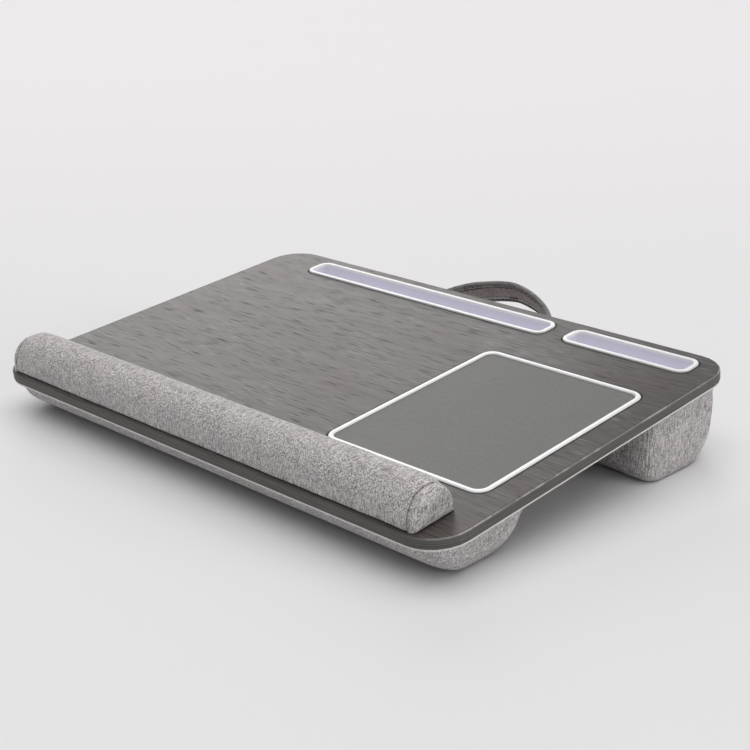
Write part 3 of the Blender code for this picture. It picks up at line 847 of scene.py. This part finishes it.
class LAP_DESK_OT_wrist_rest(bpy.types.Operator):
    """Make the wrist rest: a stuffed sleeve, piped seams and two crowned end panels"""

    bl_idname = "lap_desk.wrist_rest"
    bl_label = "Wrist rest"

    def execute(self, context):
        s = sizes()
        half = s.rest_length / 2
        self.sleeve(half)
        seam = half + s.seat_gap
        for side, direction in (("left", -1), ("right", 1)):
            self.welt(side, direction, seam)
            self.panel(side, direction, seam + s.welt_width + s.seat_gap)
        return {"FINISHED"}

    def sleeve(self, half):
        """The stuffed sleeve: made longer than it is, swollen, and cut off at its two seams."""
        s = sizes()
        spare = 0.006
        stations = [-half - spare, -half - spare / 2, -half]
        stations += [-half + s.rest_end_round * k / 4 for k in range(1, 4)]
        stations += [(-half + s.rest_end_round) * (1 - k / 60) for k in range(60)]
        stations += [0] + [-x for x in reversed(stations)]
        rings = [rest_section(x, 0.0007, 26, 12) for x in stations]
        sleeve = new_piece("wrist_rest_sleeve", lofted(rings))
        from_board = board_matrix()
        to_board = from_board.inverted()
        straight = to_board.to_3x3()

        def held(point):
            return (to_board @ point).z < 0.0008

        def gathered(point, normal):
            """Ripple a point, pucker it near a seam, and keep it off the board."""
            own = to_board @ point
            from_seam = half - abs(own.x + s.rest_offset)
            pucker = math.exp(-from_seam / 0.005) * 0.00035
            wave = math.sin((own.y + own.z) * 1150 + noise.noise(own * 90) * 3)
            ripple = noise.noise(own * 38) * 0.00035 + noise.noise(own * 120) * 0.00012
            if own.z > 0.001 and from_seam > 0.0001:
                own += (straight @ normal) * (ripple + wave * pucker)
            own.z = max(own.z, s.seat_gap)
            return from_board @ own

        stuffed(sleeve, 0.0011, held)
        subdivided(sleeve)
        pick(sleeve)
        bpy.ops.object.mode_set(mode="EDIT")
        for direction in (-1, 1):
            bpy.ops.mesh.select_all(action="SELECT")
            bpy.ops.mesh.bisect(plane_co=(direction * half - s.rest_offset, 0, 0),
                                plane_no=(direction, 0, 0), use_fill=True, clear_outer=True)
        bpy.ops.object.mode_set(mode="OBJECT")
        reshaped(sleeve, gathered)
        smooth(sleeve)
        dress(sleeve, cloth("heathered cloth"), "table", "heathered_fabric",
              "wrist_rest_cover", "wrist_rest_foam")

    def welt(self, side, direction, start_x):
        """Piping in a seam: a round bead along the D-shaped edge."""
        radius = sizes().welt_width / 2
        lengthwise = [rest_section(direction * (start_x + radius + radius * math.cos(turn)),
                                   0.0009 - radius * 1.3 * math.sin(turn), REST_STEPS,
                                   upright=True) for turn in ROUND]
        piece = new_piece("wrist_rest_piping_" + side, lofted(list(zip(*lengthwise))))
        piece.data.shade_smooth()
        dress(piece, cloth("heathered cloth"), "table", "heathered_fabric",
              "wrist_rest_welt_" + side)

    def panel(self, side, direction, start_x):
        """A crowned end panel, round at its seam."""
        s = sizes()
        rim = rest_section(direction * start_x, 0.0, REST_STEPS)
        middle = board_matrix() @ Vector((direction * start_x - s.rest_offset, -s.rest_setback,
                                          s.seat_gap + s.rest_seam_height * 0.30))
        rings = [rim]
        for size, crown in ((0.995, 0.18), (0.985, 0.36), (0.965, 0.52), (0.935, 0.65),
                            (0.89, 0.75), (0.83, 0.82), (0.74, 0.88), (0.62, 0.925),
                            (0.48, 0.96), (0.33, 0.985), (0.16, 1.0)):
            ring = []
            for index, point in enumerate(rim):
                spot = middle + (point - middle) * size
                pull = math.sin(index * 1.9) * 0.00025 * size ** 8
                bulge = (s.rest_panel_crown + pull) * crown + noise.noise(spot * 60) * 0.0004
                ring.append(spot + Vector((bulge * direction, 0, 0)))
            rings.append(ring)
        piece = new_piece("wrist_rest_panel_" + side, lofted(rings))
        smooth(piece, math.radians(60))
        dress(piece, cloth("heathered cloth"), "table", "heathered_fabric",
              "wrist_rest_end_" + side)


def strap_matrix():
    """From the strap's own frame, x along its span, y out and z across it, to the row's frame."""
    axis = [joint for joint in frame["joints"] if joint["name"] == "handle_swing"][0]["pos_m"]
    return Matrix.Translation(axis) @ Matrix.Rotation(sizes().strap_raise, 4, "X")


def strap_route():
    """Even stations along the strap: place, direction square to it and half its width there."""
    s = sizes()
    end_radius = s.strap_width / 2 - s.strap_end_room
    lead = [Vector((s.strap_half_span, -end_radius * (1 - k / 14), 0)) for k in range(14)]
    arch = []
    for step in range(1201):
        angle = math.pi * step / 1200
        along = math.copysign(abs(math.cos(angle)) ** STRAP_POWER, math.cos(angle))
        arch.append(Vector((s.strap_half_span * along,
                            s.strap_reach * math.sin(angle) ** STRAP_POWER, 0)))
    tail = [Vector((-point.x, point.y, 0)) for point in reversed(lead)]
    stations = lead[:1]
    for point in lead[1:] + arch + tail:
        if (point - stations[-1]).length >= STRAP_STEP:
            stations.append(point)
    route = []
    last = len(stations) - 1
    for i, point in enumerate(stations):
        run = (stations[min(i + 1, last)] - stations[max(i - 1, 0)]).normalized()
        beyond = min(max(-point.y, 0), end_radius * 0.995)
        width = math.sqrt(end_radius ** 2 - beyond ** 2)
        width += s.strap_end_room * min(max(point.y, 0) / s.strap_taper, 1)
        route.append((point, Vector((run.y, -run.x, 0)), width))
    return route


def strap_side(thick, middle, groove):
    """Distances from the edge and heights of one face of the strap: a rolled hem and two seams."""
    hem = sizes().strap_hem
    seam = sizes().strap_seam_width
    profile = [(0.0, 0.0), (0.00025, thick * 0.45), (0.0007, thick * 0.75),
               (0.0013, thick * 0.93), (hem * 0.55, thick), (hem - seam / 2, thick * 0.93)]
    for place, ridge in ((hem, thick * 0.82), (hem + seam * SECOND_SEAM, middle)):
        profile += [(place - seam * 0.25, groove), (place + seam * 0.25, groove),
                    (place + seam * 0.6, ridge), (place + seam, ridge)]
    return profile


class LAP_DESK_OT_strap(bpy.types.Operator):
    """Make the strap handle: rolled hems, stitch rows and a gathered inner face"""

    bl_idname = "lap_desk.strap"
    bl_label = "Strap handle"

    def execute(self, context):
        s = sizes()
        turn = strap_matrix()
        route = strap_route()
        half_thick = s.strap_thickness / 2
        outer = strap_side(half_thick, half_thick * 0.94, half_thick * 0.72)
        inner = strap_side(half_thick, half_thick * 0.66, half_thick * 0.44)
        rings = []
        length = 0.0
        before = route[0][0]
        for point, square, width in route:
            length += (point - before).length
            before = point
            sway = noise.noise(Vector((length * 45, 0, 5))) * 0.0003
            sway *= min(max(point.y, 0) / s.strap_taper, 1)
            ring = []
            for place, height in self.section(outer, inner, width):
                spot = Vector((length * 260, place * 90, 3.0 if height > 0 else 9.0))
                pleat = 0.0
                if height < 0 and abs(place) < width - s.strap_hem:
                    pleat = math.sin(length * 1100 + noise.noise(spot * 0.4) * 2.5) * 0.00025
                fuzz = noise.noise(spot * 0.25) * 0.00012
                # the face stays within the strap's own thickness
                level = math.copysign(max(abs(height) + pleat + fuzz - 0.0001, 0), height)
                ring.append(turn @ (point + square * level + Vector((0, 0, place + sway))))
            rings.append(ring)
        piece = new_piece("strap", lofted(rings))
        finishes = tuple(cloth(name) for name in (
            "heathered strap cloth", "brown-grey strap lining", "strap stitch groove",
            "strap ridge between seams"))
        dress(piece, finishes, "handle", "heathered_fabric",
              "handle_core", "handle_outer_ply", "handle_inner_ply")
        self.paint(piece, route, turn)
        piece.data.shade_smooth()
        self.stitches(route, turn, outer, inner)
        return {"FINISHED"}

    def section(self, outer, inner, width):
        """Places across the strap and heights, once round its section from one edge."""
        fit = min(1.0, width / (sizes().strap_hem * 2.6))
        around = []
        for face, sign in ((outer, 1), (inner, -1)):
            edge = [(width - distance * fit, height * sign) for distance, height in face]
            inside, level = edge[-1]
            across = [(inside * (1 - 2 * k / 10), level) for k in range(1, 10)]
            far = [(-place, height) for place, height in reversed(edge)]
            around += (edge + across + far)[::sign][:-1]
        return around

    def paint(self, piece, route, turn):
        """Paint the inner face: painted shade in the grooves, the ridge between them and the lining
        cloth.
        """
        s = sizes()
        lining, groove, ridge = 1, 2, 3
        back = turn.inverted()
        stations = route[::3]
        for face in piece.data.polygons:
            centre = back @ face.center
            from_edge = s.strap_width / 2 - abs(centre.z)
            if from_edge < s.strap_hem - s.strap_seam_width * 0.45 or centre.y < -0.006:
                continue
            point, square, _ = min(stations, key=lambda station: (
                (station[0].x - centre.x) ** 2 + (station[0].y - centre.y) ** 2))
            if (centre - point).dot(square) < 0:
                past_hem = (from_edge - s.strap_hem) / s.strap_seam_width
                if min(abs(past_hem), abs(past_hem - SECOND_SEAM)) < 0.5:
                    # groove faces get the painted shade
                    face.material_index = groove
                else:
                    face.material_index = ridge if past_hem < SECOND_SEAM else lining

    def stitches(self, route, turn, outer, inner):
        """Rows of thread along both hems, on both faces."""
        s = sizes()
        places = []
        travelled = s.stitch_pitch * 0.5
        for i in range(1, len(route) - 1):
            point, square, width = route[i]
            travelled += (point - route[i - 1][0]).length
            if travelled < s.stitch_pitch or point.y < -0.004:
                continue
            travelled = 0.0
            run = (route[i + 1][0] - route[i - 1][0]).normalized()
            basis = Matrix((run, Vector((0, 0, 1)), square)).transposed().to_4x4()
            places.append((point, square, width - s.strap_hem, basis))
        for face, sign, name in ((outer, 1, "outer"), (inner, -1, "inner")):
            level = (face[6][1] + 0.0003) * sign
            row = [turn @ Matrix.Translation(point + square * level + Vector((0, 0, across * edge)))
                   @ basis for point, square, across, basis in places for edge in (-1, 1)]
            sewn_row("strap_stitches_" + name, "handle", (0.32, 0.26), row)


class LAP_DESK_OT_strap_tabs(bpy.types.Operator):
    """Make the two cloth tabs that hold the strap's ends, each sewn round its edge"""

    bl_idname = "lap_desk.strap_tabs"
    bl_label = "Strap tabs"

    def execute(self, context):
        for side in ("left", "right"):
            low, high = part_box("handle_anchor_" + side)
            centre = (low + high) / 2
            size = high - low
            deselect()
            bpy.ops.mesh.primitive_cube_add(size=1, location=centre)
            tab = bpy.context.object
            tab.name = "strap_tab_" + side
            bpy.ops.object.mode_set(mode="EDIT")
            bpy.ops.mesh.select_all(action="SELECT")
            bpy.ops.transform.resize(value=(size.x, size.y, size.z))
            bpy.ops.object.mode_set(mode="OBJECT")
            bpy.ops.object.transform_apply(location=True, rotation=True, scale=True)
            self.round_corners(tab)
            self.sew(tab)
            dress(tab, cloth("heathered strap cloth"), "table", "heathered_fabric",
                  "handle_anchor_" + side)
            self.stitches(side, centre, size)
        return {"FINISHED"}

    def round_corners(self, tab):
        """Round the tab's four corners and soften its outer face's edges."""
        pick(tab)
        bpy.ops.object.mode_set(mode="EDIT")
        bpy.ops.mesh.select_all(action="DESELECT")
        bm = bmesh.from_edit_mesh(tab.data)
        for edge in bm.edges:
            run = (edge.verts[0].co - edge.verts[1].co).normalized()
            edge.select_set(abs(run.y) > 0.9)
        bmesh.update_edit_mesh(tab.data)
        bpy.ops.mesh.bevel(offset=0.004, segments=6)
        bpy.ops.mesh.select_all(action="DESELECT")
        bm = bmesh.from_edit_mesh(tab.data)
        for face in bm.faces:
            face.select_set(face.normal.y > 0.9)
        bmesh.update_edit_mesh(tab.data)
        bpy.ops.mesh.bevel(offset=0.0005, segments=2)
        bpy.ops.object.mode_set(mode="OBJECT")

    def sew(self, tab):
        """Press a groove into the outer face where the stitches run."""
        pick(tab)
        bpy.ops.object.mode_set(mode="EDIT")
        for thickness, depth in ((0.0014, 0.0), (0.0005, -0.0004), (0.0005, 0.0004)):
            bpy.ops.mesh.select_all(action="DESELECT")
            bm = bmesh.from_edit_mesh(tab.data)
            outer = max(bm.faces, key=lambda face: (face.normal.y > 0.99) * face.calc_area())
            outer.select_set(True)
            bmesh.update_edit_mesh(tab.data)
            bpy.ops.mesh.inset(thickness=thickness, depth=depth)
        bpy.ops.object.mode_set(mode="OBJECT")
        smooth(tab, math.radians(50))

    def stitches(self, side, centre, size):
        """A box of stitches round the tab."""
        x = size.x / 2 - TAB_SEAM_INSET
        z = size.z / 2 - TAB_SEAM_INSET
        corners = [Vector((x, 0, z)), Vector((-x, 0, z)), Vector((-x, 0, -z)), Vector((x, 0, -z))]
        outward = Vector((0, size.y / 2 - 0.0002, 0))
        row = []
        for start, end in zip(corners, corners[1:] + corners[:1]):
            run = end - start
            count = int(run.length / sizes().stitch_pitch)
            angle = 0 if abs(run.x) > abs(run.z) else math.pi / 2
            for k in range(count):
                middle = start + run * (0.03 + 0.94 * (k + 0.5) / count)
                row.append(Matrix.Translation(centre + middle + outward)
                           @ Matrix.Rotation(angle, 4, "Y"))
        sewn_row("strap_tab_stitches_" + side, "table", (0.20, 0.22), row)


class LAP_DESK_OT_lining(bpy.types.Operator):
    """Make the backing cloth under the board, with a soft rolled edge"""

    bl_idname = "lap_desk.lining"
    bl_label = "Lining"

    def execute(self, context):
        piece = merged_copy("base_lining", "lining")
        pick(piece)
        bpy.ops.object.mode_set(mode="EDIT")
        bpy.ops.mesh.select_all(action="SELECT")
        bpy.ops.mesh.dissolve_limited(angle_limit=math.radians(1))
        bpy.ops.object.mode_set(mode="OBJECT")
        bevel = piece.modifiers.new("rolled edge", "BEVEL")
        bevel.width = 0.0004
        bevel.segments = 2
        bevel.limit_method = "ANGLE"
        bevel.angle_limit = math.radians(60)
        apply_all(piece)
        smooth(piece)
        dress(piece, finish_of("backing cloth", lining_finish), "table", "lining_cloth",
              "base_lining")
        self.hem()
        return {"FINISHED"}

    def hem(self):
        """The pale rolled hem: a fine tube round the backing cloth, just under the edge band."""
        s = sizes()
        from_board = board_matrix()
        (left, right), (front, rear), _ = board_spans("base_lining")
        middle = Vector(((left + right) / 2, (front + rear) / 2, s.seat_gap - s.cushion_top))
        reach_x = (right - left) / 2 - s.lining_corner
        reach_y = (rear - front) / 2 - s.lining_corner
        corner = s.lining_corner - s.hem_radius
        rings = []
        for quarter, (across, along) in enumerate(((1, 1), (-1, 1), (-1, -1), (1, -1))):
            for step in range(13):
                turn = math.pi / 2 * (quarter + step / 12)
                out = Vector((math.cos(turn), math.sin(turn), 0))
                spot = middle + Vector((reach_x * across, reach_y * along, 0)) + out * corner
                rings.append([from_board @ (spot + s.hem_radius * (
                    out * math.cos(angle) + Vector((0, 0, math.sin(angle))))) for angle in ROUND])
        piece = new_piece("lining_hem", lofted(rings, endless=True))
        piece.data.shade_smooth()
        dress(piece, cloth("pale hem cloth"), "table", "lining_cloth")


class LAP_DESK_OT_board(bpy.types.Operator):
    """Finish the board: woodgrain sheet, edge band and fibreboard"""

    bl_idname = "lap_desk.board"
    bl_label = "Board"

    def execute(self, context):
        repaint("top_laminate", finish_of("dark woodgrain", woodgrain))
        repaint("edge_band", finish_of("dark edge band", edge_finish))
        repaint("board_core", finish_of("raw fibreboard", fibreboard_finish))
        repaint("wrist_rest_base", finish_of("raw fibreboard", fibreboard_finish))
        return {"FINISHED"}


class LAP_DESK_OT_mouse_pad(bpy.types.Operator):
    """Finish the mouse pad and its white bead"""

    bl_idname = "lap_desk.mouse_pad"
    bl_label = "Mouse pad"

    def execute(self, context):
        repaint("mouse_pad", finish_of("leather-look pad", pad_finish))
        repaint("mouse_pad_border", finish_of("white bead", white_finish, 0.008))
        return {"FINISHED"}


class LAP_DESK_OT_troughs(bpy.types.Operator):
    """Finish the pen tray and the phone slot"""

    bl_idname = "lap_desk.troughs"
    bl_label = "Troughs"

    def execute(self, context):
        for node in ("tray_insert", "phone_slot_insert"):
            repaint(node, finish_of("white trough plastic", white_finish, 0.0006))
        return {"FINISHED"}


class LAP_DESK_OT_stage(bpy.types.Operator):
    """Make the pale floor, the soft light and the camera"""

    bl_idname = "lap_desk.stage"
    bl_label = "Stage"

    def execute(self, context):
        self.floor()
        self.light(context.scene)
        self.camera(context.scene)
        return {"FINISHED"}

    def floor(self):
        c = colours()
        deselect()
        bpy.ops.mesh.primitive_plane_add(size=40, location=(0, 0, -0.0002))
        floor = bpy.context.object
        floor.name = "floor"
        finish = Finish("pale floor", roughness=0.9, specular_ior_level=0.1)
        # Painted light: the floor grows lighter away from the camera
        away = finish.along("Y", finish.mapped(finish.place(), turn=(0, 0, -VIEW_BEARING)))
        finish.set("Base Color", finish.mix(away.rise(-0.2, 2.2), c.floor_near, c.floor_far))
        floor.data.materials.append(finish.material)

    def light(self, scene):
        world = bpy.data.worlds.new("studio")
        scene.world = world
        world.use_nodes = True
        tree = Tree(world.node_tree)
        background = tree.nodes["Background"]
        seen = tree.node("ShaderNodeLightPath")
        tree.feed(background.inputs["Color"],
                  tree.mix(seen, (0.97, 0.985, 1.0), colours().floor_far))
        tree.feed(background.inputs["Strength"], seen * (1.0 - WORLD_FILL) + WORLD_FILL)
        self.softbox(scene, "ceiling softbox", 2.16, 80, 0, 90)
        self.softbox(scene, "front softbox", 0.34, 50, -72, 44)
        self.softbox(scene, "right softbox", 0.80, 30, 20, 12)
        self.softbox(scene, "left rear softbox", 0.76, 36, 145, 22)

    def softbox(self, scene, name, energy, spread, bearing, height):
        """A wide lamp seen at a bearing from the part's right and at a height over the floor."""
        lamp = bpy.data.lights.new(name, "SUN")
        lamp.energy = energy
        lamp.angle = math.radians(spread)
        lamp.color = (1.0, 0.985, 0.975)
        box = bpy.data.objects.new(name, lamp)
        box.rotation_euler = (math.radians(90 - height), 0, math.radians(bearing + 90))
        scene.collection.objects.link(box)

    def camera(self, scene):
        data = bpy.data.cameras.new("camera")
        data.lens = 72.55
        data.sensor_width = 36
        data.clip_start = 0.05
        data.clip_end = 100
        camera = bpy.data.objects.new("camera", data)
        camera.location = (0.85404, -0.873591, 0.47745)
        camera.rotation_euler = (math.pi / 2 - VIEW_DROP, 0, VIEW_BEARING)
        scene.collection.objects.link(camera)
        scene.camera = camera


steps = (LAP_DESK_OT_stage, LAP_DESK_OT_board, LAP_DESK_OT_mouse_pad, LAP_DESK_OT_troughs,
         LAP_DESK_OT_lining, LAP_DESK_OT_wrist_rest, LAP_DESK_OT_cushions,
         LAP_DESK_OT_strap, LAP_DESK_OT_strap_tabs)


class LAP_DESK_PT_panel(bpy.types.Panel):
    """Sizes, colours and steps of the lap desk"""

    bl_idname = "LAP_DESK_PT_panel"
    bl_label = "Lap desk"
    bl_space_type = "VIEW_3D"
    bl_region_type = "UI"
    bl_category = "Lap desk"

    def draw(self, context):
        layout = self.layout
        for step in steps:
            layout.operator(step.bl_idname)
        for group in (context.scene.lap_desk_sizes, context.scene.lap_desk_colours):
            column = layout.column()
            for name in group.__annotations__:
                column.prop(group, name)


classes = (LapDeskSizes, LapDeskColours) + steps + (LAP_DESK_PT_panel,)


def register():
    for item in classes:
        bpy.utils.register_class(item)
    bpy.types.Scene.lap_desk_sizes = PointerProperty(type=LapDeskSizes)
    bpy.types.Scene.lap_desk_colours = PointerProperty(type=LapDeskColours)


def unregister():
    del bpy.types.Scene.lap_desk_colours
    del bpy.types.Scene.lap_desk_sizes
    for item in reversed(classes):
        bpy.utils.unregister_class(item)


def main():
    register()
    scene = bpy.context.scene
    scene.view_settings.view_transform = "Standard"
    bpy.ops.lap_desk.stage()
    bpy.ops.lap_desk.board()
    bpy.ops.lap_desk.mouse_pad()
    bpy.ops.lap_desk.troughs()
    bpy.ops.lap_desk.lining()
    bpy.ops.lap_desk.wrist_rest()
    bpy.ops.lap_desk.cushions()
    bpy.ops.lap_desk.strap()
    bpy.ops.lap_desk.strap_tabs()


if __name__ == "__main__":
    main()
